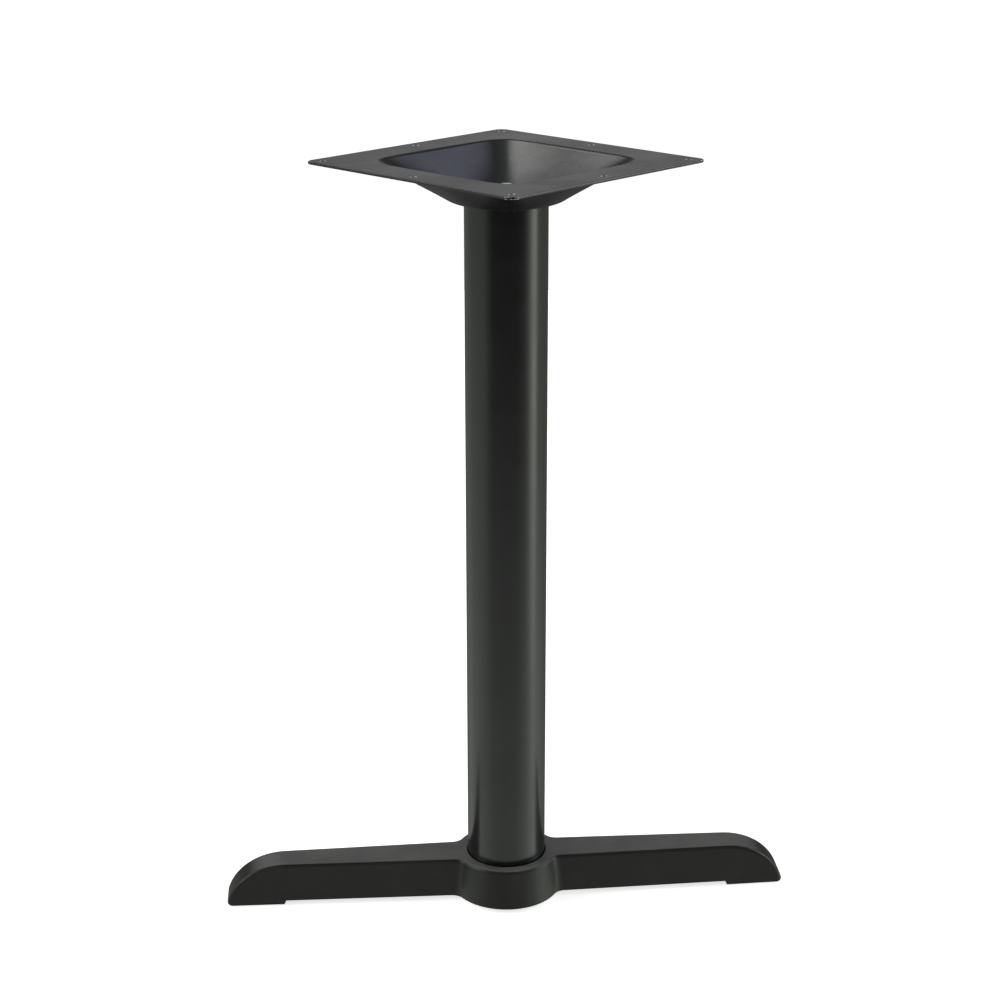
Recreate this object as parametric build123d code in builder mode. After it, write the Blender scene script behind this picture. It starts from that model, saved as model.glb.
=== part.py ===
"""Column table base: a two-arm cast foot, a steel column and a dished top plate on one tie rod.

Millimetres. X runs along the arms, Z points up, the floor is Z = 0 and the column stands on the Z axis.
"""
from build123d import *
import math
import os

os.makedirs("parts", exist_ok=True)

# Overall sizes, the length between the corners under the two noses before they are rounded
base_length = 556.0
total_height = 730.0

# Arms of the foot: a drafted bar that narrows to its ends, with nose-down tips
arm_height = 44.0
arm_root_width = 45.5
arm_tip_width = 32.0
arm_draft = 2.1
arm_edge_radius = 3.5
nose_length = 58.0
nose_sink = 7.0
nose_bottom_radius = 4.5
pad_length = 56.5
pad_drop = 4.5
pad_ramp = 2.0

# Hub of the foot, a rim round the column that flares towards the floor
hub_rim_width = 11.9
hub_flare = 4.0
hub_blend_radius = 12.0
bottom_edge_chamfer = 1.5

# Hollow underside of the casting
arm_wall = 6.0
arm_web = 7.0
hub_wall = 7.0
hub_web = 8.0
rod_boss_margin = 1.5
rod_boss_height = 6.0
rib_thickness = 4.0
rib_lift = 12.0
arm_rib_positions = (105.0, 165.0)

# Tapped bosses for levelling glides, one in each end pad
glide_boss_radius = 12.0
glide_hole_radius = 4.25
glide_hole_depth = 22.0
glide_setback = 27.0
glide_boss_lift = 0.5

# Column
column_diameter = 76.2
column_wall = 1.6
socket_depth = 5.0
socket_clearance = 0.3
socket_chamfer = 0.8

# Top plate: a square flange round a dish that goes from a square mouth to a round bottom
plate_side = 254.0
plate_corner_radius = 9.0
plate_thickness = 2.5
plate_turn = 41.5
dish_mouth = 178.0
dish_mouth_radius = 27.0
dish_bottom_margin = 10.5
dish_bottom_flat = 6.0
dish_depth = 37.0
dish_bend_radius = 9.0
dish_bottom_bend = 20.0
dimple_depth = 2.5
dimple_clearance = 0.3
screw_hole_radius = 3.25
screw_hole_inset = 12.0

# Tie rod and its fasteners
rod_diameter = 12.0
rod_hole_clearance = 0.6
rod_top_projection = 2.2
rod_bottom_projection = 4.0
rod_end_chamfer = 1.2
washer_rim = 12.5
washer_thickness = 3.0
nut_wall = 3.0
nut_height = 10.5
thread_clearance = 0.3

# How far a cut starts outside the body, and how close an edge must lie to be picked
cut_margin = 1.0
pick_tolerance = 0.1

# Levels and radii that follow
half_length = base_length / 2
column_radius = column_diameter / 2
hub_top_radius = column_radius + hub_rim_width
hub_bottom_radius = hub_top_radius + hub_flare
socket_radius = column_radius + socket_clearance
socket_floor = arm_height - socket_depth
hub_ceiling = socket_floor - hub_web
boss_face = hub_ceiling - rod_boss_height
flange_bottom = total_height - plate_thickness
dish_floor = total_height - dish_depth
dish_bottom_radius = column_radius + dish_bottom_margin
dimple_radius = column_radius - column_wall - dimple_clearance
rod_radius = rod_diameter / 2
rod_hole_radius = rod_radius + rod_hole_clearance
washer_radius = rod_radius + washer_rim
rod_boss_radius = washer_radius + rod_boss_margin
glide_x = half_length - glide_setback
shoulder_x = half_length - nose_length
pad_inner_x = half_length - pad_length
nose_rise = arm_height + nose_sink
nose_start = math.degrees(math.asin(nose_sink / nose_rise))
nose_reach = nose_length / math.cos(math.radians(nose_start))


def arm_plan(inset):
    """Corner points of the two arms seen from above at floor level, drawn in by a wall."""
    reach = base_length
    slope = (arm_root_width - arm_tip_width) / base_length
    root = arm_root_width / 2 - inset
    end = root - slope * reach
    return [(-reach, -end), (0, -root), (reach, -end), (reach, end), (0, root), (-reach, end)]


def rounded_square(side, radius, level):
    """Edges of a rounded square at a level: at each corner four equal arcs, then a straight side."""
    half_side = side / 2
    centre = half_side - radius
    corner = Plane((centre, centre, level))
    corner_arc = 90 / 4
    edges = []
    for turn in (0, 90, 180, 270):
        for start in (0, corner_arc, 2 * corner_arc, 3 * corner_arc):
            edges.append(Edge.make_circle(radius, corner, start, start + corner_arc).rotate(Axis.Z, turn))
        straight = Edge.make_line((centre, half_side, level), (-centre, half_side, level))
        edges.append(straight.rotate(Axis.Z, turn))
    return edges


# Foot casting: the hollow under it, with the ribs and bosses standing in it
channel_start = socket_radius + arm_wall
side_view = Plane.XZ.offset(-arm_root_width)
with BuildPart() as underside:
    with BuildSketch(Plane.XY.offset(-cut_margin)):
        Polygon(*arm_plan(arm_wall), align=None)
    extrude(amount=arm_height + cut_margin, taper=arm_draft)
    with BuildSketch(side_view):
        with BuildLine():
            inner_nose = EllipticalCenterArc(
                (shoulder_x, -nose_sink),
                nose_reach - arm_wall,
                nose_rise - arm_web,
                start_angle=0,
                arc_size=90,
            )
            Polyline(
                inner_nose @ 0,
                (channel_start, -nose_sink),
                (channel_start, arm_height - arm_web),
                inner_nose @ 1,
            )
        make_face()
    extrude(amount=2 * arm_root_width, mode=Mode.INTERSECT)
    mirror(about=Plane.YZ)
    with BuildSketch(Plane.XZ):
        cone_slope = (hub_bottom_radius - hub_top_radius) / (arm_height - pad_drop)
        inner_bottom = hub_bottom_radius - hub_wall
        with BuildLine():
            Polyline(
                (0, -cut_margin),
                (inner_bottom, -cut_margin),
                (inner_bottom - cone_slope * (hub_ceiling + cut_margin), hub_ceiling),
                (0, hub_ceiling),
                close=True,
            )
        make_face()
    revolve(axis=Axis.Z)
    with BuildSketch(Plane.XY.offset(boss_face)):
        Circle(rod_boss_radius)
    extrude(amount=rod_boss_height, mode=Mode.SUBTRACT)
    with BuildSketch(Plane.XY.offset(glide_boss_lift)):
        with Locations((glide_x, 0), (-glide_x, 0)):
            Circle(glide_boss_radius)
    extrude(amount=arm_height, mode=Mode.SUBTRACT)
    with BuildSketch(Plane.XY.offset(rib_lift)):
        for rib_x in arm_rib_positions:
            with Locations((rib_x, 0), (-rib_x, 0)):
                Rectangle(rib_thickness, arm_root_width)
    extrude(amount=arm_height, mode=Mode.SUBTRACT)
    with BuildSketch(Plane.XY.offset(rib_lift)):
        Rectangle(rib_thickness, 2 * hub_bottom_radius)
        Circle(rod_boss_radius, mode=Mode.SUBTRACT)
    extrude(amount=arm_height, mode=Mode.SUBTRACT)

with BuildPart() as base_casting:
    with BuildSketch():
        Polygon(*arm_plan(0), align=None)
    extrude(amount=arm_height, taper=arm_draft)
    with BuildSketch(side_view) as arm_side:
        with BuildLine():
            nose = EllipticalCenterArc(
                (shoulder_x, -nose_sink),
                nose_reach,
                nose_rise,
                start_angle=nose_start,
                arc_size=90 - nose_start,
            )
            Polyline(
                nose @ 1,
                (0, arm_height),
                (0, pad_drop),
                (pad_inner_x - pad_ramp, pad_drop),
                (pad_inner_x, 0),
                nose @ 0,
            )
        make_face()
        mirror(about=Plane.YZ)
        nose_corners = arm_side.vertices().filter_by(lambda vertex: abs(vertex.X) > glide_x)
        fillet(nose_corners, nose_bottom_radius)
    extrude(amount=2 * arm_root_width, mode=Mode.INTERSECT)
    with BuildSketch(Plane.XZ):
        with BuildLine():
            Polyline(
                (0, pad_drop),
                (hub_bottom_radius, pad_drop),
                (hub_top_radius, arm_height),
                (0, arm_height),
                close=True,
            )
        make_face()
    revolve(axis=Axis.Z)
    hub_seams = base_casting.edges().filter_by(
        lambda edge: abs(edge.position_at(0).Z - edge.position_at(1).Z) > arm_height / 2
        and abs(edge.center().X) < hub_bottom_radius
    )
    fillet(hub_seams, hub_blend_radius)
    top_outline = base_casting.faces().sort_by(Axis.Z)[-1].edges()
    nose_edges = base_casting.edges().filter_by(
        lambda edge: abs(edge.center().X) > glide_x and edge.center().Z > pick_tolerance
    )
    fillet((top_outline + nose_edges).filter_by(Axis.Y, reverse=True), arm_edge_radius)
    hub_foot = base_casting.edges().filter_by(
        lambda edge: abs(edge.center().Z - pad_drop) < pick_tolerance
        and abs(edge.center().X) < shoulder_x
    )
    chamfer(hub_foot.filter_by(Axis.Y, reverse=True), bottom_edge_chamfer)
    add(underside.part, mode=Mode.SUBTRACT)
    with BuildSketch(Plane.XY.offset(socket_floor)):
        Circle(socket_radius)
    extrude(amount=socket_depth, mode=Mode.SUBTRACT)
    with BuildSketch(Plane.XY.offset(boss_face)):
        Circle(rod_hole_radius)
    extrude(amount=arm_height, mode=Mode.SUBTRACT)
    with BuildSketch(Plane.XY.offset(glide_boss_lift)):
        with Locations((glide_x, 0), (-glide_x, 0)):
            Circle(glide_hole_radius)
    extrude(amount=glide_hole_depth, mode=Mode.SUBTRACT)
    socket_rim = base_casting.edges().filter_by(GeomType.CIRCLE).filter_by(
        lambda edge: abs(edge.radius - socket_radius) < pick_tolerance
    )
    chamfer(socket_rim.sort_by(Axis.Z)[-1], socket_chamfer)
base_casting.part.label = "base_casting"
export_step(base_casting.part, "parts/base_casting.step")

# Column: a straight tube between the socket and the underside of the dish
column_length = dish_floor - socket_floor
with BuildPart() as column_tube:
    with BuildSketch(Plane.XY.offset(socket_floor)):
        Circle(column_radius)
        Circle(column_radius - column_wall, mode=Mode.SUBTRACT)
    extrude(amount=column_length)
column_tube.part.label = "column_tube"
export_step(column_tube.part, "parts/column_tube.step")

# Top plate: the lower surface of the pressing is the underside of this solid form
plate_plane = Plane.XY.rotated((0, 0, plate_turn))
dimple_bottom_radius = dimple_radius - dimple_depth
mouth_edges = rounded_square(dish_mouth, dish_mouth_radius, flange_bottom)
bottom_corner_radius = dish_bottom_radius - dish_bottom_flat / 2
bottom_edges = rounded_square(2 * dish_bottom_radius, bottom_corner_radius, dish_floor)
dish_faces = [Face(Wire(mouth_edges)), Face(Wire(bottom_edges))]
for upper, lower in zip(mouth_edges, bottom_edges):
    if upper.geom_type == GeomType.LINE:
        dish_faces.append(Face(Wire.make_polygon([upper @ 0, upper @ 1, lower @ 1, lower @ 0])))
    else:
        dish_faces.append(Face.make_surface_from_curves(upper, lower))
with BuildPart() as pressing_form:
    add(Solid(Shell(dish_faces)).rotate(Axis.Z, plate_turn))
    fillet(pressing_form.faces().sort_by(Axis.Z)[0].edges(), dish_bottom_bend)
    with BuildSketch(plate_plane.offset(flange_bottom)):
        Rectangle(2 * plate_side, 2 * plate_side)
    extrude(amount=2 * dish_depth)
    mouth_bend = pressing_form.edges().filter_by(
        lambda edge: abs(edge.center().Z - flange_bottom) < pick_tolerance
        and math.hypot(edge.center().X, edge.center().Y) < plate_side / 2
    )
    fillet(mouth_bend, dish_bend_radius)
    with BuildSketch(Plane.XZ):
        with BuildLine():
            Polyline(
                (0, dish_floor + plate_thickness),
                (dimple_radius + plate_thickness, dish_floor + plate_thickness),
                (dimple_bottom_radius, dish_floor - dimple_depth),
                (0, dish_floor - dimple_depth),
                close=True,
            )
        make_face()
    revolve(axis=Axis.Z)

screw_reach = plate_side / 2 - screw_hole_inset
with BuildPart() as top_plate:
    with BuildSketch(plate_plane.offset(total_height)):
        RectangleRounded(plate_side, plate_side, plate_corner_radius)
        with GridLocations(2 * screw_reach, 2 * screw_reach, 2, 2):
            Circle(screw_hole_radius, mode=Mode.SUBTRACT)
        with PolarLocations(screw_reach, 4):
            Circle(screw_hole_radius, mode=Mode.SUBTRACT)
        Circle(rod_hole_radius, mode=Mode.SUBTRACT)
    extrude(amount=-2 * dish_depth)
    add(pressing_form.part, mode=Mode.INTERSECT)
    add(pressing_form.part.moved(Location((0, 0, plate_thickness))), mode=Mode.SUBTRACT)
top_plate.part.label = "top_plate"
export_step(top_plate.part, "parts/top_plate.step")

# Tie rod, with a washer and a nut at each end
top_seat = dish_floor - dimple_depth + plate_thickness
rod_top = top_seat + washer_thickness + nut_height + rod_top_projection
rod_bottom = boss_face - washer_thickness - nut_height - rod_bottom_projection
with BuildPart() as tie_rod:
    with BuildSketch(Plane.XY.offset(rod_bottom)):
        Circle(rod_radius)
    extrude(amount=rod_top - rod_bottom)
    chamfer(tie_rod.edges().filter_by(GeomType.CIRCLE), rod_end_chamfer)
tie_rod.part.label = "tie_rod"
export_step(tie_rod.part, "parts/tie_rod.step")

fastener_seats = {"top": top_seat, "bottom": boss_face - washer_thickness}
for end_name, washer_level in fastener_seats.items():
    with BuildPart() as washer:
        with BuildSketch(Plane.XY.offset(washer_level)):
            Circle(washer_radius)
            Circle(rod_hole_radius, mode=Mode.SUBTRACT)
        extrude(amount=washer_thickness)
    washer.part.label = end_name + "_washer"
    export_step(washer.part, "parts/" + end_name + "_washer.step")

nut_seats = {"top": top_seat + washer_thickness, "bottom": boss_face - washer_thickness - nut_height}
nut_flat_radius = rod_radius + nut_wall
nut_corner_radius = nut_flat_radius / math.cos(math.radians(30))
for end_name, nut_level in nut_seats.items():
    with BuildPart() as nut:
        with BuildSketch(Plane.XY.offset(nut_level)):
            RegularPolygon(nut_corner_radius, 6)
            Circle(rod_radius + thread_clearance, mode=Mode.SUBTRACT)
        extrude(amount=nut_height)
    nut.part.label = end_name + "_nut"
    export_step(nut.part, "parts/" + end_name + "_nut.step")
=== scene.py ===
"""Column table base: a cast foot, a round column and a dished top plate, dressed for a studio picture.

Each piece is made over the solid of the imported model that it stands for, in the same frame, in metres.
"""
import math

import bmesh
import bpy
from bpy.props import FloatProperty, FloatVectorProperty, IntProperty, PointerProperty
from mathutils import Matrix, Vector


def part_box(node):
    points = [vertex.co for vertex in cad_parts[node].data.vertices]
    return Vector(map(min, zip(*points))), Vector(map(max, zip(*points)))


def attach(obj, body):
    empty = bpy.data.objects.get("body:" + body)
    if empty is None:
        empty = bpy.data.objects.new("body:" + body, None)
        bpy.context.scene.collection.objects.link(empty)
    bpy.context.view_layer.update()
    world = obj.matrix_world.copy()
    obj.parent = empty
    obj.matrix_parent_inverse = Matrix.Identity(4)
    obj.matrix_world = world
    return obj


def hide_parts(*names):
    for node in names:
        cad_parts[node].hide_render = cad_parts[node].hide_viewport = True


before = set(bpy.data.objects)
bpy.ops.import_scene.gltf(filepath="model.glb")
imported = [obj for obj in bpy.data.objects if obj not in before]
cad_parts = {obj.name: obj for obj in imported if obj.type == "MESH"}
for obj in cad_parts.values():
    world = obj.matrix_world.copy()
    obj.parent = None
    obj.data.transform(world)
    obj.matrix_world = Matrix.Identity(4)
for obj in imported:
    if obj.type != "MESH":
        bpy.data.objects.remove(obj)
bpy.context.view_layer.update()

bl_info = {
    "name": "Column table base",
    "version": (1, 0, 0),
    "blender": (4, 5, 0),
    "location": "View3D > Sidebar > Table base",
    "description": "Makes the finished pieces of a column table base around its packed model",
    "category": "Object",
}

MM = 0.001
FULL_TURN = 2 * math.pi

# How close points merge, how flat faces become one, how sharp an edge is eased, and the weight of large
# faces in the shading, out of 100
WELD = 1e-6
FLAT = 0.01
SHARP = math.radians(35)
FACE_WEIGHT = 60

# Faces round or along each form
CORNER_STEPS = 10
HOLE_SIDES = 32
DISH_SIDES = 192
BEND_STEPS = 7
WALL_STEPS = 5
FASTENER_SIDES = 96
FLOOR_SIDES = 128

# The dimple's section as (distance outwards from its edge, depth), both in its own depth
DIMPLE = ((0.7, 0.0), (0.3, 0.05), (0.0, 0.2), (-0.35, 0.5), (-0.7, 0.8), (-1.0, 0.95), (-1.4, 1.0))

# The thread's section in pitches: its depth, then where its root ends and its crest starts and ends
THREAD_DEPTH = 0.6134
ROOT_END = 0.25
CREST_START = 0.5625
CREST_END = 0.6875

# A nut's turned face inside its flats, the width and depth of its bore's countersink, and its chamfer
NUT_FACE_INSET = 0.45 * MM
NUT_MOUTH = 0.9 * MM
NUT_SINK = 0.8 * MM
NUT_CHAMFER = math.radians(30)

# Upward share of a normal: past the first a face isn't a hole's wall, past the second it is a sawn end
FACES_LEVEL = 0.95
SAWN_LEVEL = 0.99

# Bare steel, the index of refraction of paint, and the number on the faces whose coat is worn
STEEL = (0.56, 0.55, 0.53)
PAINT_IOR = 1.5
WORN = "worn_edge"

# The span that most of a noise lies in, and how far up a face must look to take the painted top light and
# dust
NOISE_SPAN = (0.3, 0.7)
FACING_UP = (0.8, 0.98)

# Spacing and depth of the marks in the powder coat, the casting's coat, the zinc and the cut steel
SMUDGE = 70 * MM
GRIT = 4 * MM
CHIP = 2.4 * MM
PRESS_WAVE = 25 * MM
WAVE_FADE = 8 * MM
PATCH = 45 * MM
CAST_GRIT = 3 * MM
CAST_WAVE = 30 * MM
CAST_WAVE_DEPTH = 0.12 * MM
PIT = 4.5 * MM
PIT_DEPTH = 0.06 * MM
BLOOM = 5 * MM
PLATING_GRAIN = 0.8 * MM
PLATING_DEPTH = 0.006 * MM
SAW_SCORE = 0.35 * MM
SAW_DEPTH = 0.03 * MM
PUNCH_STREAK = 0.5 * MM

# Width of the camera's sensor in its own millimetres
SENSOR_WIDTH = 36


def node_size(name):
    """Radius across, lowest and highest level of a round node."""
    low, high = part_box(name)
    return (high.x - low.x) / 2, low.z, high.z


class FootSettings(bpy.types.PropertyGroup):
    """The cast foot."""

    edge_ease: FloatProperty(
        name="Eased edge", description="Width of the small bevel on the casting's sharp edges",
        default=0.6 * MM, subtype="DISTANCE", unit="LENGTH")
    paint: FloatVectorProperty(
        name="Paint", description="Colour of the coat on the casting",
        default=(0.0098, 0.0106, 0.0090), size=3, min=0, max=1, subtype="COLOR")
    # Painted top light: a pale colour put on the faces that look up, drawn as settled dust
    dust_and_top_light: FloatVectorProperty(
        name="Dust", description="Colour of the coat where dust settles on it",
        default=(0.128, 0.131, 0.122), size=3, min=0, max=1, subtype="COLOR")
    roughness: FloatProperty(
        name="Roughness", description="How satin the coat is", default=0.42, min=0, max=1, subtype="FACTOR")
    sheen: FloatProperty(
        name="Sheen", description="How strongly the coat mirrors light", default=0.34, min=0, max=1,
        subtype="FACTOR")
    grain_size: FloatProperty(
        name="Sand grain", description="Spacing of the sand mould's grain under the coat",
        default=1.3 * MM, subtype="DISTANCE", unit="LENGTH")
    grain_depth: FloatProperty(
        name="Grain depth", description="Height of the sand mould's grain under the coat",
        default=0.05 * MM, subtype="DISTANCE", unit="LENGTH")


class SteelSettings(bpy.types.PropertyGroup):
    """The column and the top plate, both of steel under the same coat."""

    edge_ease: FloatProperty(
        name="Eased edge", description="Width of the small bevel on the tube's cut ends",
        default=0.25 * MM, subtype="DISTANCE", unit="LENGTH")
    wall: FloatProperty(
        name="Column wall", description="Thickness of the column's tube",
        default=1.6 * MM, subtype="DISTANCE", unit="LENGTH")
    column_sides: IntProperty(
        name="Column sides", description="Faces round the column", default=160, min=24, max=512)
    paint: FloatVectorProperty(
        name="Paint", description="Colour of the powder coat",
        default=(0.0040, 0.0043, 0.0044), size=3, min=0, max=1, subtype="COLOR")
    column_roughness: FloatProperty(
        name="Column roughness", description="How satin the column's coat is",
        default=0.23, min=0, max=1, subtype="FACTOR")
    plate_roughness: FloatProperty(
        name="Plate roughness", description="How satin the plate's coat is",
        default=0.27, min=0, max=1, subtype="FACTOR")
    peel_size: FloatProperty(
        name="Orange peel", description="Spacing of the powder coat's orange peel",
        default=1.5 * MM, subtype="DISTANCE", unit="LENGTH")
    peel_depth: FloatProperty(
        name="Peel depth", description="Height of the powder coat's orange peel",
        default=0.003 * MM, subtype="DISTANCE", unit="LENGTH")
    draw_marks: FloatProperty(
        name="Draw marks", description="Height of the low waves in the column's surface",
        default=0.008 * MM, subtype="DISTANCE", unit="LENGTH")


class PlateSettings(bpy.types.PropertyGroup):
    """The pressed top plate."""

    side: FloatProperty(
        name="Side", description="Side of the square flange",
        default=254 * MM, subtype="DISTANCE", unit="LENGTH")
    corner: FloatProperty(
        name="Corner", description="Radius of the flange's corners",
        default=9 * MM, subtype="DISTANCE", unit="LENGTH")
    thickness: FloatProperty(
        name="Thickness", description="Thickness of the sheet",
        default=2.5 * MM, subtype="DISTANCE", unit="LENGTH")
    turn: FloatProperty(
        name="Turn", description="How far the plate is turned round the column",
        default=math.radians(41.5), subtype="ANGLE", unit="ROTATION")
    edge_ease: FloatProperty(
        name="Eased edge", description="Width of the small bevel on the sheet's cut edges",
        default=0.8 * MM, subtype="DISTANCE", unit="LENGTH")
    corner_wear: FloatProperty(
        name="Corner wear", description="How far in from the plate's corners its edge is rubbed bare",
        default=3 * MM, subtype="DISTANCE", unit="LENGTH")
    screw_reach: FloatProperty(
        name="Screw reach", description="Distance of the rows of screw holes from the column's axis",
        default=115 * MM, subtype="DISTANCE", unit="LENGTH")
    screw_radius: FloatProperty(
        name="Screw hole", description="Radius of a screw hole",
        default=3.25 * MM, subtype="DISTANCE", unit="LENGTH")
    mouth: FloatProperty(
        name="Mouth", description="Width of the dish's square mouth",
        default=178 * MM, subtype="DISTANCE", unit="LENGTH")
    mouth_square: FloatProperty(
        name="Mouth squareness", description="How square the mouth is, from 2 for a circle upwards",
        default=7.5, min=2)
    mouth_bend: FloatProperty(
        name="Mouth bend", description="Radius of the bend from the flange into the dish",
        default=9 * MM, subtype="DISTANCE", unit="LENGTH")
    bottom: FloatProperty(
        name="Bottom", description="Radius of the dish's round bottom, before its bend",
        default=48.6 * MM, subtype="DISTANCE", unit="LENGTH")
    bottom_bend: FloatProperty(
        name="Bottom bend", description="Radius of the bend from the wall into the bottom",
        default=20 * MM, subtype="DISTANCE", unit="LENGTH")
    depth: FloatProperty(
        name="Depth", description="Depth of the dish, from the flange to its bottom",
        default=34.5 * MM, subtype="DISTANCE", unit="LENGTH")
    dimple: FloatProperty(
        name="Dimple", description="Radius of the dimple that enters the column",
        default=36.2 * MM, subtype="DISTANCE", unit="LENGTH")
    dimple_depth: FloatProperty(
        name="Dimple depth", description="How far the dimple enters the column",
        default=2.5 * MM, subtype="DISTANCE", unit="LENGTH")
    rod_hole: FloatProperty(
        name="Rod hole", description="Radius of the hole for the rod",
        default=6.6 * MM, subtype="DISTANCE", unit="LENGTH")
    dents: FloatProperty(
        name="Press marks", description="Height of the low waves that the press leaves in the sheet",
        default=0.25 * MM, subtype="DISTANCE", unit="LENGTH")


class FastenerSettings(bpy.types.PropertyGroup):
    """The threaded rod, its nuts and its washers."""

    pitch: FloatProperty(
        name="Pitch", description="Rise of the thread in one turn",
        default=1.75 * MM, subtype="DISTANCE", unit="LENGTH")
    turn_steps: IntProperty(
        name="Steps in a turn", description="Faces round one turn of the thread", default=24, min=8, max=96)
    tip_chamfer: FloatProperty(
        name="Tip chamfer", description="Length of the cone at the rod's ends",
        default=0.9 * MM, subtype="DISTANCE", unit="LENGTH")
    bore_play: FloatProperty(
        name="Bore play", description="Gap between the thread's crest and the nut's bore",
        default=0.08 * MM, subtype="DISTANCE", unit="LENGTH")
    washer_play: FloatProperty(
        name="Washer play", description="Gap between the thread's crest and the washer's hole",
        default=0.6 * MM, subtype="DISTANCE", unit="LENGTH")
    edge_ease: FloatProperty(
        name="Eased edge", description="Rounding of the washers' punched edges",
        default=0.45 * MM, subtype="DISTANCE", unit="LENGTH")
    plating: FloatVectorProperty(
        name="Plating", description="Colour of the zinc plating",
        default=(0.70, 0.71, 0.69), size=3, min=0, max=1, subtype="COLOR")


class StudioSettings(bpy.types.PropertyGroup):
    """The floor, the light and the camera."""

    camera_place: FloatVectorProperty(
        name="Camera place", description="Where the camera stands",
        default=(-0.1619, -1.8288, 1.0440), size=3, subtype="XYZ", unit="LENGTH")
    camera_drop: FloatProperty(
        name="Camera drop", description="How far the camera looks down",
        default=math.radians(19.065), subtype="ANGLE", unit="ROTATION")
    camera_turn: FloatProperty(
        name="Camera turn", description="How far the camera is turned to its right",
        default=math.radians(5.06), subtype="ANGLE", unit="ROTATION")
    camera_shift: FloatVectorProperty(
        name="Camera shift", description="How far the frame is moved sideways and up, in its own width",
        default=(-0.0063, 0.0011), size=2)
    lens: FloatProperty(
        name="Lens", description="Focal length in millimetres on a 36 mm sensor",
        default=74.5, min=1, unit="CAMERA")
    floor_radius: FloatProperty(
        name="Floor", description="Radius of the floor", default=2.6, subtype="DISTANCE", unit="LENGTH")
    floor_glow: FloatProperty(
        name="Floor glow", description="Light that the pale floor gives of itself", default=0.75, min=0)
    floor_paint: FloatVectorProperty(
        name="Floor paint", description="Colour of the floor",
        default=(0.86, 0.86, 0.85), size=3, min=0, max=1, subtype="COLOR")


class Shader:
    """A material's node tree, with short ways to add and join nodes."""

    def __init__(self, tree):
        self.tree = tree
        self.coords = None

    def add(self, kind, **values):
        """A new node with its settings."""
        node = self.tree.nodes.new(kind)
        for key, value in values.items():
            setattr(node, key, value)
        return node

    def put(self, value, socket):
        """Joins an output to a socket, or sets a plain value on it."""
        if hasattr(value, "is_linked"):
            self.tree.links.new(value, socket)
        else:
            socket.default_value = value

    def place(self):
        """The object's own coordinates."""
        if self.coords is None:
            self.coords = self.add("ShaderNodeTexCoord").outputs["Object"]
        return self.coords

    def split(self, vector):
        """The X, Y and Z of a vector."""
        node = self.add("ShaderNodeSeparateXYZ")
        self.put(vector, node.inputs[0])
        return node.outputs

    def attribute(self, name):
        """A number that the mesh carries on its faces."""
        return self.add("ShaderNodeAttribute", attribute_name=name).outputs["Fac"]

    def noise(self, size, detail=2.0, rough=0.5, stretch=None):
        """Noise from 0 to 1 with features of about that size in metres."""
        place = self.place()
        if stretch is not None:
            turned = self.add("ShaderNodeMapping")
            turned.inputs["Scale"].default_value = stretch
            self.put(place, turned.inputs["Vector"])
            place = turned.outputs["Vector"]
        node = self.add("ShaderNodeTexNoise")
        node.inputs["Scale"].default_value = 1 / size
        node.inputs["Detail"].default_value = detail
        node.inputs["Roughness"].default_value = rough
        self.put(place, node.inputs["Vector"])
        return node.outputs["Fac"]

    def spread(self, value, span, to=(0.0, 1.0), shape="SMOOTHSTEP"):
        """The value, taken from one span to another and held there."""
        node = self.add("ShaderNodeMapRange", interpolation_type=shape)
        for name, number in zip(("From Min", "From Max", "To Min", "To Max"), (*span, *to)):
            node.inputs[name].default_value = number
        self.put(value, node.inputs["Value"])
        return node.outputs["Result"]

    def math(self, kind, first, second):
        """A sum of two numbers, of any kind."""
        node = self.add("ShaderNodeMath", operation=kind)
        self.put(first, node.inputs[0])
        self.put(second, node.inputs[1])
        return node.outputs[0]

    def mix(self, share, first, second):
        """Two colours, mixed."""
        node = self.add("ShaderNodeMix", data_type="RGBA")
        self.put(share, node.inputs["Factor"])
        self.put(first, node.inputs[6])
        self.put(second, node.inputs[7])
        return node.outputs[2]

    def bump(self, height, depth, under=None):
        """A relief of that depth in metres, over another one."""
        node = self.add("ShaderNodeBump")
        node.inputs["Distance"].default_value = depth
        self.put(height, node.inputs["Height"])
        if under is not None:
            self.put(under, node.inputs["Normal"])
        return node.outputs["Normal"]


def new_material(name):
    """A new material, its node tree and its surface node."""
    material = bpy.data.materials.new(name)
    material.use_nodes = True
    return material, Shader(material.node_tree), material.node_tree.nodes["Principled BSDF"]


def colour(values, times=1.0):
    """A colour for a socket, made lighter or darker."""
    return (*(times * value for value in values), 1.0)


def powder_coat(name, steel, roughness, waves, flat_from):
    """Black powder coat on steel: smudges, orange peel, bare steel at worn edges, waves below a level."""
    material, shader, surface = new_material(name)
    smudge = shader.noise(SMUDGE, detail=4.0, rough=0.6)
    dusty = shader.spread(smudge, (0.45, 0.75), (0.0, 0.35))
    tint = shader.mix(dusty, colour(steel.paint), colour(steel.paint, 2.0))
    chips = shader.spread(shader.noise(CHIP, rough=0.6), (0.50, 0.58))
    bare = shader.math("MULTIPLY", chips, shader.attribute(WORN))
    shader.put(shader.mix(bare, tint, colour(STEEL)), surface.inputs["Base Color"])
    shader.put(bare, surface.inputs["Metallic"])
    surface.inputs["IOR"].default_value = PAINT_IOR
    clean = shader.spread(smudge, NOISE_SPAN, (roughness - 0.03, roughness + 0.04))
    grit = shader.spread(shader.noise(GRIT, detail=3.0, rough=0.6), NOISE_SPAN, (-0.01, 0.01))
    shader.put(shader.math("ADD", clean, grit), surface.inputs["Roughness"])
    level = shader.split(shader.place())["Z"]
    dished = shader.spread(level, (flat_from - WAVE_FADE, flat_from), (1.0, 0.0))
    wave = shader.bump(shader.math("MULTIPLY", shader.noise(PRESS_WAVE, detail=1.0), dished), waves)
    peel = shader.bump(shader.noise(steel.peel_size, detail=1.0), steel.peel_depth, wave)
    shader.put(peel, surface.inputs["Normal"])
    return material


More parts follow.
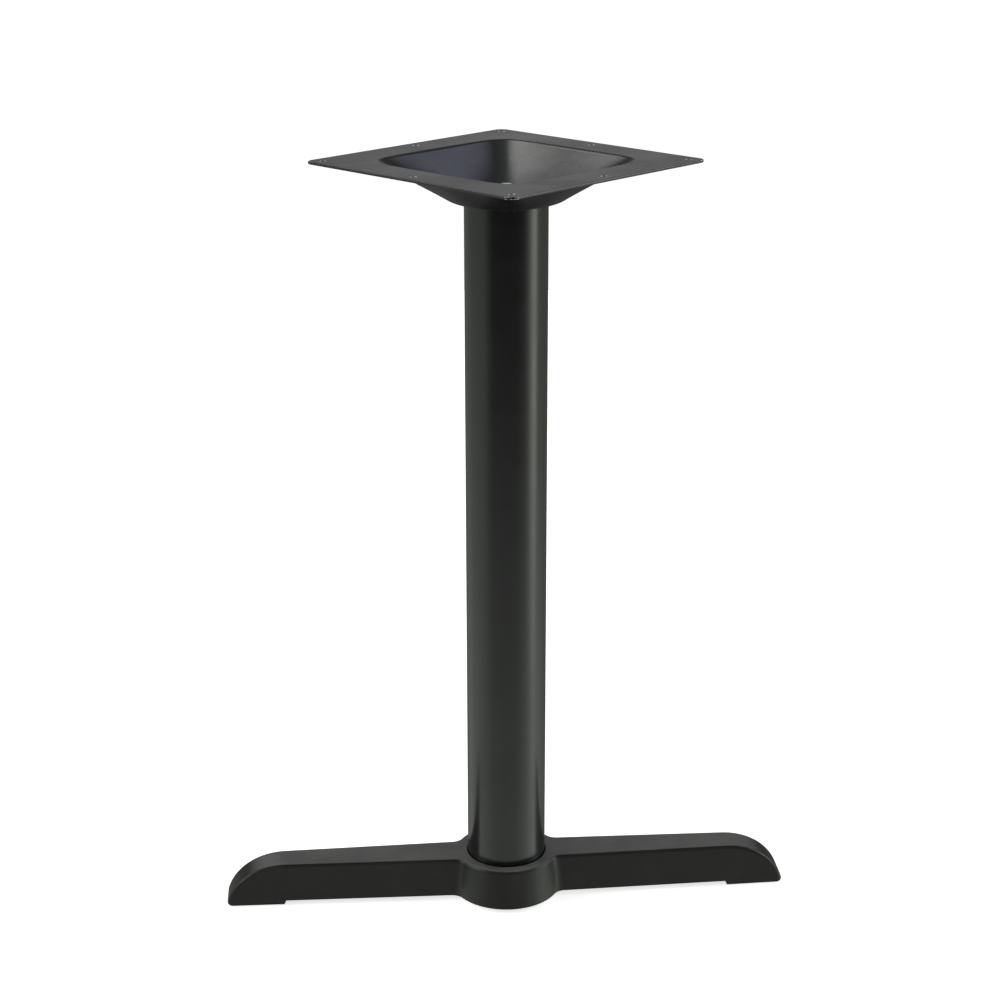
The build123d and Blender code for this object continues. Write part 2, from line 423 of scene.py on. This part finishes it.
def cast_coat(foot):
    """Black coat over a sand casting: rubbed patches, painted top light as pale dust on what faces up, low
    waves, pits and grain.
    """
    material, shader, surface = new_material("foot_paint_coat")
    patch = shader.noise(PATCH, detail=5.0, rough=0.6)
    rubbed = shader.spread(patch, (0.45, 0.8), (0.0, 0.6))
    tint = shader.mix(rubbed, colour(foot.paint), colour(foot.paint, 2.2))
    normal = shader.add("ShaderNodeNewGeometry").outputs["Normal"]
    # Painted top light: faces that look up are painted pale, as settled dust, where light from above falls on
    # them
    upward = shader.spread(shader.split(normal)["Z"], FACING_UP)
    top_lit_dust = shader.math("MULTIPLY", upward, shader.spread(patch, (0.25, 0.75), (0.7, 1.0)))
    shader.put(shader.mix(top_lit_dust, tint, colour(foot.dust_and_top_light)), surface.inputs["Base Color"])
    surface.inputs["IOR"].default_value = PAINT_IOR
    surface.inputs["Specular IOR Level"].default_value = foot.sheen
    satin = shader.spread(patch, NOISE_SPAN, (foot.roughness - 0.06, foot.roughness + 0.07))
    grit = shader.spread(shader.noise(CAST_GRIT, detail=3.0, rough=0.6), NOISE_SPAN, (-0.03, 0.03))
    shader.put(shader.math("ADD", satin, grit), surface.inputs["Roughness"])
    wave = shader.bump(shader.noise(CAST_WAVE), CAST_WAVE_DEPTH)
    pits = shader.bump(shader.noise(PIT, rough=0.55), PIT_DEPTH, wave)
    grain = shader.bump(shader.noise(foot.grain_size, rough=0.6), foot.grain_depth, pits)
    shader.put(grain, surface.inputs["Normal"])
    return material


def zinc_plate(fastener):
    """Bright zinc plating with a cloudy bloom, one for all the fasteners."""
    made = bpy.data.materials.get("zinc_plating")
    if made:
        return made
    material, shader, surface = new_material("zinc_plating")
    bloom = shader.noise(BLOOM, detail=4.0, rough=0.65)
    clouded = shader.spread(bloom, (0.35, 0.7))
    tint = shader.mix(clouded, colour(fastener.plating), colour(fastener.plating, 0.72))
    shader.put(tint, surface.inputs["Base Color"])
    surface.inputs["Metallic"].default_value = 1.0
    shader.put(shader.spread(bloom, NOISE_SPAN, (0.24, 0.42)), surface.inputs["Roughness"])
    shader.put(shader.bump(shader.noise(PLATING_GRAIN), PLATING_DEPTH), surface.inputs["Normal"])
    return material


def cut_zinc(fastener):
    """The sawn end of the rod, scored across and bright."""
    material, shader, surface = new_material("sawn_end")
    scores = shader.noise(SAW_SCORE, rough=0.6, stretch=(1, 0.08, 1))
    tint = shader.mix(scores, colour(fastener.plating), colour(fastener.plating, 1.3))
    shader.put(tint, surface.inputs["Base Color"])
    surface.inputs["Metallic"].default_value = 1.0
    surface.inputs["Roughness"].default_value = 0.6
    shader.put(shader.bump(scores, SAW_DEPTH), surface.inputs["Normal"])
    return material


def bare_steel():
    """The punched wall of a hole, where the coat is thin and the steel shines through."""
    material, shader, surface = new_material("punched_steel")
    streak = shader.noise(PUNCH_STREAK, rough=0.6, stretch=(1, 1, 0.1))
    tint = shader.mix(streak, colour(STEEL, 0.4), colour(STEEL, 0.75))
    shader.put(tint, surface.inputs["Base Color"])
    surface.inputs["Metallic"].default_value = 1.0
    shader.put(shader.spread(streak, NOISE_SPAN, (0.42, 0.6)), surface.inputs["Roughness"])
    return material


def verts_of(geom):
    """The points among what an operator made."""
    return [part for part in geom if isinstance(part, bmesh.types.BMVert)]


def edges_of(geom):
    """The edges among what an operator made."""
    return [part for part in geom if isinstance(part, bmesh.types.BMEdge)]


def ring_edges(ring):
    """The edges of a ring of points, each once and in order."""
    return list(dict.fromkeys(edge for vert in ring for edge in vert.link_edges))


def whole(bm):
    """All the points, edges and faces of a mesh."""
    return bm.verts[:] + bm.edges[:] + bm.faces[:]


def polar(reach, angle, level):
    """A point at a distance from the column's axis, an angle round it and a level."""
    return Vector((reach * math.cos(angle), reach * math.sin(angle), level))


def draw_ring(bm, edges, spot):
    """Extrudes a ring of edges and puts each new point where spot gives it for its angle."""
    made = bmesh.ops.extrude_edge_only(bm, edges=edges)["geom"]
    for vert in verts_of(made):
        vert.co = spot(math.atan2(vert.co.y, vert.co.x))
    return edges_of(made)


def close(bm):
    """Merges what meets and turns the faces outwards."""
    bmesh.ops.remove_doubles(bm, verts=bm.verts, dist=WELD)
    bmesh.ops.recalc_face_normals(bm, faces=bm.faces)


def spun(points, sides):
    """A closed outline of (radius, level) points, spun once round the column's axis."""
    bm = bmesh.new()
    verts = [bm.verts.new((radius, 0, level)) for radius, level in points]
    edges = [bm.edges.new(pair) for pair in zip(verts, verts[1:] + verts[:1])]
    bmesh.ops.spin(bm, geom=verts + edges, cent=(0, 0, 0), axis=(0, 0, 1), dvec=(0, 0, 0),
                   angle=FULL_TURN, steps=sides, use_merge=True)
    close(bm)
    return bm


def node_copy(name):
    """A copy of a node's mesh with its loose triangles merged and its flat faces whole."""
    bm = bmesh.new()
    bm.from_mesh(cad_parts[name].data)
    bmesh.ops.remove_doubles(bm, verts=bm.verts, dist=WELD)
    bmesh.ops.dissolve_limit(bm, angle_limit=FLAT, verts=bm.verts, edges=bm.edges)
    return bm


def ease_edges(bm, width, segments=2):
    """Bevels every sharp edge by a small width and returns the new faces."""
    edges = [edge for edge in bm.edges if edge.is_manifold and edge.calc_face_angle() > SHARP]
    made = bmesh.ops.bevel(bm, geom=edges, offset=width, offset_type="OFFSET", affect="EDGES",
                           segments=segments, profile=0.5, material=-1, clamp_overlap=True)
    return made["faces"]


def finish_piece(bm, name, node, slot, *materials):
    """Makes the mesh an object that stands for the node, hides the node and hangs the object under the root
    body.
    """
    if not bm.faces:
        raise RuntimeError(f"{name} has no faces")
    mesh = bpy.data.meshes.new(name)
    bm.to_mesh(mesh)
    bm.free()
    mesh.shade_smooth()
    for material in materials:
        mesh.materials.append(material)
    piece = bpy.data.objects.new(name, mesh)
    bpy.context.scene.collection.objects.link(piece)
    even = piece.modifiers.new("even_shading", "WEIGHTED_NORMAL")
    even.mode = "FACE_AREA"
    even.weight = FACE_WEIGHT
    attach(piece, "root")
    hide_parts(node)
    return piece


class TABLEBASE_OT_foot(bpy.types.Operator):
    """Make the cast foot: two arms and a hub in one casting"""

    bl_idname = "tablebase.foot"
    bl_label = "Cast foot"

    def execute(self, context):
        foot = context.scene.base_foot
        bm = node_copy("base_casting")
        ease_edges(bm, foot.edge_ease)
        finish_piece(bm, "cast_foot", "base_casting", "foot_paint", cast_coat(foot))
        return {"FINISHED"}


class TABLEBASE_OT_column(bpy.types.Operator):
    """Make the round column, a steel tube"""

    bl_idname = "tablebase.column"
    bl_label = "Column"

    def execute(self, context):
        steel = context.scene.base_steel
        radius, bottom, top = node_size("column_tube")
        inner = radius - steel.wall
        bm = spun([(inner, bottom), (radius, bottom), (radius, top), (inner, top)], steel.column_sides)
        ease_edges(bm, steel.edge_ease)
        coat = powder_coat("column_coat", steel, steel.column_roughness, steel.draw_marks, top)
        finish_piece(bm, "round_column", "column_tube", "steel_paint", coat)
        return {"FINISHED"}


class TABLEBASE_OT_plate(bpy.types.Operator):
    """Make the pressed top plate with its dish and screw holes"""

    bl_idname = "tablebase.plate"
    bl_label = "Top plate"

    def execute(self, context):
        plate = context.scene.base_plate
        steel = context.scene.base_steel
        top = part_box("top_plate")[1].z
        bm = bmesh.new()
        # The layer comes before any bevel, because adding one drops every face in hand
        worn = bm.faces.layers.float.new(WORN)
        holes = self.screw_holes(plate)
        rim = self.flange(bm, plate, holes, top)
        self.dish(bm, plate, rim, top)
        sheet = bmesh.ops.extrude_face_region(bm, geom=bm.faces[:], use_keep_orig=True)["geom"]
        bmesh.ops.translate(bm, verts=verts_of(sheet), vec=(0, 0, -plate.thickness))
        bmesh.ops.rotate(bm, verts=bm.verts, cent=(0, 0, 0), matrix=Matrix.Rotation(plate.turn, 3, "Z"))
        close(bm)
        corner = max(vert.co.xy.length for vert in bm.verts) - plate.corner_wear
        for face in ease_edges(bm, plate.edge_ease, segments=3):
            face[worn] = 1.0 if face.calc_center_median().xy.length > corner else 0.0
        self.bare_holes(bm, plate, holes)
        coat = powder_coat("plate_coat", steel, steel.plate_roughness, plate.dents, top - plate.thickness)
        finish_piece(bm, "dished_plate", "top_plate", "steel_paint", coat, bare_steel())
        return {"FINISHED"}

    def screw_holes(self, plate):
        """Places of the eight screw holes, in the plate's own square."""
        rows = (-plate.screw_reach, 0, plate.screw_reach)
        return [(x, y) for x in rows for y in rows if x or y]

    def flange(self, bm, plate, holes, top):
        """Fills the flange between its outline, the screw holes and the dish; returns the dish's edges."""
        outline = []
        middle = plate.side / 2 - plate.corner
        for turn in range(4):
            quarter = Matrix.Rotation(turn * math.pi / 2, 3, "Z")
            for step in range(CORNER_STEPS + 1):
                spot = polar(plate.corner, math.pi / 2 * (step / CORNER_STEPS), top)
                outline.append(bm.verts.new(quarter @ (Vector((middle, middle, 0)) + spot)))
        edges = [bm.edges.new(pair) for pair in zip(outline, outline[1:] + outline[:1])]
        for x, y in holes:
            ring = bmesh.ops.create_circle(bm, segments=HOLE_SIDES, radius=plate.screw_radius)["verts"]
            bmesh.ops.translate(bm, verts=ring, vec=(x, y, top))
            edges += ring_edges(ring)
        ring = bmesh.ops.create_circle(bm, segments=DISH_SIDES, radius=plate.mouth / 2)["verts"]
        for vert in ring:
            vert.co = self.on_dish(plate, math.atan2(vert.co.y, vert.co.x), 0, top)
        rim = ring_edges(ring)
        bmesh.ops.triangle_fill(bm, use_beauty=True, use_dissolve=False, edges=edges + rim, normal=(0, 0, 1))
        return rim

    def dish(self, bm, plate, edges, top):
        """Draws the dish down from the flange's inner edges, ring by ring, to the hole for the rod."""
        for ring in range(1, len(self.profile(plate, 0.0))):
            edges = draw_ring(bm, edges, lambda angle: self.on_dish(plate, angle, ring, top))

    def on_dish(self, plate, angle, ring, top):
        """Where a ring of the dish passes at an angle."""
        reach, sunk = self.profile(plate, angle)[ring]
        return polar(reach, angle, top - sunk)

    def profile(self, plate, angle):
        """The dish's section at an angle as (distance from the axis, depth), from the flange inwards."""
        depth, power = plate.depth, plate.mouth_square
        square = (abs(math.cos(angle)) ** power + abs(math.sin(angle)) ** power) ** (1 / power)
        mouth, bottom = plate.mouth / 2 / square, plate.bottom
        upper, lower = plate.mouth_bend, plate.bottom_bend
        fall = math.atan2(depth, mouth - bottom)
        start = mouth + upper * math.tan(fall / 2)
        stop = bottom - lower * math.tan(fall / 2)
        points, inner = [], []
        for step in range(BEND_STEPS + 1):
            bent = fall * step / BEND_STEPS
            points.append((start - upper * math.sin(bent), upper * (1 - math.cos(bent))))
            inner.append((stop + lower * math.sin(bent), depth - lower * (1 - math.cos(bent))))
        inner.reverse()
        (far, shallow), (near, deep) = points[-1], inner[0]
        for step in range(1, WALL_STEPS):
            share = step / WALL_STEPS
            points.append((far + (near - far) * share, shallow + (deep - shallow) * share))
        points += inner
        for reach, sunk in DIMPLE:
            points.append((plate.dimple + reach * plate.dimple_depth, depth + sunk * plate.dimple_depth))
        points.append((plate.rod_hole, depth + plate.dimple_depth))
        return points

    def bare_holes(self, bm, plate, holes):
        """Gives the walls of the screw holes the second material."""
        bm.normal_update()
        turned = Matrix.Rotation(plate.turn, 2)
        places = [turned @ Vector(hole) for hole in holes]
        for face in bm.faces:
            middle = face.calc_center_median().xy
            near = min((middle - place).length for place in places)
            if abs(face.normal.z) < FACES_LEVEL and near < plate.screw_radius + plate.edge_ease:
                face.material_index = 1


class TABLEBASE_OT_rod(bpy.types.Operator):
    """Make the threaded rod that clamps the base together"""

    bl_idname = "tablebase.rod"
    bl_label = "Threaded rod"

    def execute(self, context):
        fastener = context.scene.base_fastener
        crest, bottom, top = node_size("tie_rod")
        spare, chamfer = fastener.pitch, fastener.tip_chamfer
        bm = self.thread(fastener, crest, bottom - spare, top - bottom + 2 * spare)
        for level, away in ((bottom, -1), (top, 1)):
            bmesh.ops.bisect_plane(bm, geom=whole(bm), dist=WELD, plane_co=(0, 0, level),
                                   plane_no=(0, 0, away), clear_outer=True)
        for vert in bm.verts:
            depth = min(vert.co.z - bottom, top - vert.co.z)
            reach = crest - (chamfer - depth)
            across = vert.co.xy
            if depth < chamfer and across.length > reach:
                vert.co.xy = across * (reach / across.length)
        bmesh.ops.holes_fill(bm, edges=[edge for edge in bm.edges if edge.is_boundary], sides=0)
        close(bm)
        bm.normal_update()
        for face in bm.faces:
            face.material_index = 1 if abs(face.normal.z) > SAWN_LEVEL else 0
        finish_piece(bm, "threaded_rod", "tie_rod", "zinc", zinc_plate(fastener), cut_zinc(fastener))
        return {"FINISHED"}

    def thread(self, fastener, crest, start, least):
        """A thread of at least that length: one turn, spun and then doubled again and again."""
        pitch, steps = fastener.pitch, fastener.turn_steps
        root = crest - THREAD_DEPTH * pitch
        section = ((root, 0), (root, ROOT_END), (crest, CREST_START), (crest, CREST_END), (root, 1))
        bm = bmesh.new()
        verts = [bm.verts.new((radius, 0, start + share * pitch)) for radius, share in section]
        edges = [bm.edges.new(pair) for pair in zip(verts, verts[1:])]
        bmesh.ops.spin(bm, geom=verts + edges, cent=(0, 0, 0), axis=(0, 0, 1),
                       dvec=(0, 0, pitch / steps), angle=FULL_TURN, steps=steps)
        length = pitch
        while length < least:
            more = bmesh.ops.duplicate(bm, geom=whole(bm))["geom"]
            bmesh.ops.translate(bm, vec=(0, 0, length), verts=verts_of(more))
            length *= 2
        bmesh.ops.remove_doubles(bm, verts=bm.verts, dist=WELD)
        return bm


class TABLEBASE_OT_washers(bpy.types.Operator):
    """Make the two washers with their punched edges"""

    bl_idname = "tablebase.washers"
    bl_label = "Washers"

    def execute(self, context):
        fastener = context.scene.base_fastener
        hole = node_size("tie_rod")[0] + fastener.washer_play
        for name, node in (("upper_washer", "top_washer"), ("lower_washer", "bottom_washer")):
            radius, bottom, top = node_size(node)
            bm = spun([(hole, bottom), (radius, bottom), (radius, top), (hole, top)], FASTENER_SIDES)
            ease_edges(bm, fastener.edge_ease, segments=3)
            finish_piece(bm, name, node, "zinc", zinc_plate(fastener))
        return {"FINISHED"}


class TABLEBASE_OT_nuts(bpy.types.Operator):
    """Make the two hexagon nuts with their turned chamfers"""

    bl_idname = "tablebase.nuts"
    bl_label = "Nuts"

    def execute(self, context):
        fastener = context.scene.base_fastener
        bore = node_size("tie_rod")[0] + fastener.bore_play
        for name, node in (("upper_nut", "top_nut"), ("lower_nut", "bottom_nut")):
            finish_piece(self.nut(node, bore), name, node, "zinc", zinc_plate(fastener))
        return {"FINISHED"}

    def nut(self, node, bore):
        """A nut over its node: a ring drawn round the nut's section until it closes on itself."""
        low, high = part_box(node)
        wide, deep = high.x - low.x, high.y - low.y
        flat = min(wide, deep) / 2
        first_corner = 0 if wide > deep else math.pi / 6
        face, mouth = flat - NUT_FACE_INSET, bore + NUT_MOUTH
        fall = math.tan(NUT_CHAMFER)

        def spot(angle, radius, level, slope):
            if radius is None:
                side = (angle - first_corner) % (math.pi / 3) - math.pi / 6
                radius = flat / math.cos(side)
            return polar(radius, angle, level + slope * max(0.0, radius - face) * fall)

        bm = bmesh.new()
        ring = bmesh.ops.create_circle(bm, segments=FASTENER_SIDES, radius=mouth)["verts"]
        bmesh.ops.translate(bm, verts=ring, vec=(0, 0, low.z))
        edges = ring_edges(ring)
        # Each step is (radius, or None on the hexagon; level; which way the chamfer falls)
        section = (
            (face, low.z, 0), (None, low.z, 1), (None, high.z, -1), (face, high.z, 0), (mouth, high.z, 0),
            (bore, high.z - NUT_SINK, 0), (bore, low.z + NUT_SINK, 0), (mouth, low.z, 0),
        )
        for step in section:
            edges = draw_ring(bm, edges, lambda angle: spot(angle, *step))
        close(bm)
        return bm


# Light round the object as (degrees from the camera's side, strength): walls at eye level, then the ground
WALL_LIGHT = (
    (-180, 0.1), (-160, 0.2), (-145, 0.3), (-120, 0.45), (-85, 0.62), (-62, 0.68), (-50, 0.3), (-38, 0.03),
    (0, 0.015), (32, 0.02), (46, 0.1), (57, 0.35), (68, 1.2), (78, 3.2), (88, 3.4), (95, 0.7), (112, 0.42),
    (140, 0.2), (160, 0.12), (180, 0.08),
)
GROUND_LIGHT = (
    (-180, 0.12), (-150, 0.3), (-120, 0.9), (-84, 1.2), (-57, 1.1), (-40, 0.98), (0, 0.92), (30, 0.95),
    (50, 1.25), (70, 1.5), (85, 1.6), (98, 1.4), (114, 0.95), (130, 0.45), (150, 0.2), (180, 0.08),
)
WALL_TINT = (0.97, 1.06, 0.91)
GROUND_TINT = (0.98, 1.04, 0.96)
UNDER_LIGHT = (0.08, 0.08, 0.08)
SKY_LIGHT = (0.12, 0.12, 0.12)
BACKDROP = (1.05, 1.05, 1.05)
DARK = (0.0, 0.0, 0.0)

# Between which heights of a look, from -1 straight down to 1 straight up, one light gives way to the next
UNDER_FADE = (-0.85, -0.5)
GROUND_FADE = (-0.5, -0.2)
SKY_FADE = (0.0, 0.1)

# Soft boxes as (degrees from the front, degrees up, inner and outer half width in degrees, strength)
SOFT_BOXES = (
    (174, 9, 4, 18, (0.30, 0.30, 0.30)),
    (124, 46, 2, 18, (1.12, 1.17, 1.52)),
    (-149, 54, 2, 17, (3.5, 3.5, 3.45)),
    (178, 66, 3, 20, (0.24, 0.29, 0.28)),
    (-84, 32, 6, 20, (7.0, 7.0, 7.0)),
    (89, 25, 6, 20, (7.0, 7.0, 7.0)),
    (0, 22, 4, 22, (0.5, 0.5, 0.5)),
)


def direction(turned, raised):
    """A way as a unit vector, from its angle off the front, rightwards, and its angle up."""
    turned, raised = math.radians(turned), math.radians(raised)
    return polar(math.cos(raised), turned - math.pi / 2, math.sin(raised))


class TABLEBASE_OT_studio(bpy.types.Operator):
    """Set the floor, the soft light and the camera"""

    bl_idname = "tablebase.studio"
    bl_label = "Studio"

    def execute(self, context):
        studio = context.scene.base_studio
        self.floor(context, studio)
        self.sky(context, studio)
        camera = bpy.data.cameras.new("photo_camera")
        camera.sensor_width = SENSOR_WIDTH
        camera.lens = studio.lens
        camera.shift_x, camera.shift_y = studio.camera_shift
        stand = bpy.data.objects.new("photo_camera", camera)
        stand.location = studio.camera_place
        stand.rotation_euler = (math.pi / 2 - studio.camera_drop, 0, -studio.camera_turn)
        context.scene.collection.objects.link(stand)
        context.scene.camera = stand
        context.scene.view_settings.view_transform = "Standard"
        return {"FINISHED"}

    def floor(self, context, studio):
        """A round pale floor that the paint doesn't mirror, because the studio's light stands for it."""
        material, _, surface = new_material("pale_floor")
        surface.inputs["Base Color"].default_value = colour(studio.floor_paint)
        surface.inputs["Roughness"].default_value = 0.9
        surface.inputs["Specular IOR Level"].default_value = 0.0
        surface.inputs["Emission Color"].default_value = (1, 1, 1, 1)
        surface.inputs["Emission Strength"].default_value = studio.floor_glow
        bm = bmesh.new()
        bmesh.ops.create_circle(bm, cap_ends=True, segments=FLOOR_SIDES, radius=studio.floor_radius)
        mesh = bpy.data.meshes.new("pale_floor")
        bm.to_mesh(mesh)
        bm.free()
        mesh.materials.append(material)
        piece = bpy.data.objects.new("pale_floor", mesh)
        piece.visible_glossy = False
        context.scene.collection.objects.link(piece)

    def sky(self, context, studio):
        """The studio as the paint mirrors it: dark behind the camera, pale at the sides, soft boxes above."""
        world = bpy.data.worlds.new("soft_studio")
        world.use_nodes = True
        context.scene.world = world
        shader = Shader(world.node_tree)
        way = shader.add("ShaderNodeTexCoord").outputs["Generated"]
        parts = shader.split(way)
        rise = parts["Z"]
        turn = shader.math("ARCTAN2", parts["X"], shader.math("MULTIPLY", parts["Y"], -1.0))
        turn = shader.spread(turn, (-math.pi, math.pi), shape="LINEAR")
        walls = self.round_light(shader, turn, studio, WALL_LIGHT, WALL_TINT)
        ground = self.round_light(shader, turn, studio, GROUND_LIGHT, GROUND_TINT)
        low = shader.mix(shader.spread(rise, GROUND_FADE, (1.0, 0.0)), walls, ground)
        low = shader.mix(shader.spread(rise, UNDER_FADE, (1.0, 0.0)), low, colour(UNDER_LIGHT))
        high = SKY_LIGHT
        for turned, raised, inner, outer, power in SOFT_BOXES:
            facing = shader.add("ShaderNodeVectorMath", operation="DOT_PRODUCT")
            shader.put(way, facing.inputs[0])
            facing.inputs[1].default_value = direction(turned, raised)
            span = (math.cos(math.radians(outer)), math.cos(math.radians(inner)))
            share = shader.spread(facing.outputs["Value"], span)
            total = shader.add("ShaderNodeVectorMath", operation="ADD")
            shader.put(high, total.inputs[0])
            shader.put(shader.mix(share, colour(DARK), colour(power)), total.inputs[1])
            high = total.outputs[0]
        seen = shader.mix(shader.spread(rise, SKY_FADE), low, high)
        camera_ray = shader.add("ShaderNodeLightPath").outputs["Is Camera Ray"]
        final = shader.mix(camera_ray, seen, colour(BACKDROP))
        shader.put(final, world.node_tree.nodes["Background"].inputs["Color"])

    def round_light(self, shader, turn, studio, stops, tint):
        """Light all round the object, from pairs of an angle off the camera's side and a strength."""
        brightest = max(power for _, power in stops)
        band = shader.add("ShaderNodeValToRGB")
        band.color_ramp.interpolation = "EASE"
        ramp = band.color_ramp.elements
        while len(ramp) < len(stops):
            ramp.new(0.5)
        shift = math.degrees(studio.camera_turn)
        for stop, (degrees, power) in zip(ramp, stops):
            stop.position = min(1.0, max(0.0, (degrees - shift + 180) / 360))
            stop.color = colour(tint, power / brightest)
        shader.put(turn, band.inputs["Fac"])
        scaled = shader.add("ShaderNodeVectorMath", operation="SCALE")
        shader.put(band.outputs["Color"], scaled.inputs[0])
        scaled.inputs["Scale"].default_value = brightest
        return scaled.outputs[0]


class TABLEBASE_PT_panel(bpy.types.Panel):
    """Lists the pieces of the table base"""

    bl_label = "Table base"
    bl_idname = "TABLEBASE_PT_panel"
    bl_space_type = "VIEW_3D"
    bl_region_type = "UI"
    bl_category = "Table base"

    def draw(self, context):
        for operator in OPERATORS:
            self.layout.operator(operator.bl_idname)
        for group in GROUPS:
            settings = getattr(context.scene, group)
            column = self.layout.column(align=True)
            for name in settings.__annotations__:
                column.prop(settings, name)


OPERATORS = (
    TABLEBASE_OT_foot, TABLEBASE_OT_column, TABLEBASE_OT_plate, TABLEBASE_OT_rod,
    TABLEBASE_OT_washers, TABLEBASE_OT_nuts, TABLEBASE_OT_studio,
)
GROUPS = {
    "base_foot": FootSettings,
    "base_steel": SteelSettings,
    "base_plate": PlateSettings,
    "base_fastener": FastenerSettings,
    "base_studio": StudioSettings,
}


def register():
    for group in (*GROUPS.values(), *OPERATORS, TABLEBASE_PT_panel):
        bpy.utils.register_class(group)
    for name, group in GROUPS.items():
        setattr(bpy.types.Scene, name, PointerProperty(type=group))


def unregister():
    for name in GROUPS:
        delattr(bpy.types.Scene, name)
    for group in (TABLEBASE_PT_panel, *reversed(OPERATORS), *GROUPS.values()):
        bpy.utils.unregister_class(group)


def main():
    register()
    bpy.ops.tablebase.foot()
    bpy.ops.tablebase.column()
    bpy.ops.tablebase.plate()
    bpy.ops.tablebase.rod()
    bpy.ops.tablebase.washers()
    bpy.ops.tablebase.nuts()
    bpy.ops.tablebase.studio()


if __name__ == "__main__":
    main()
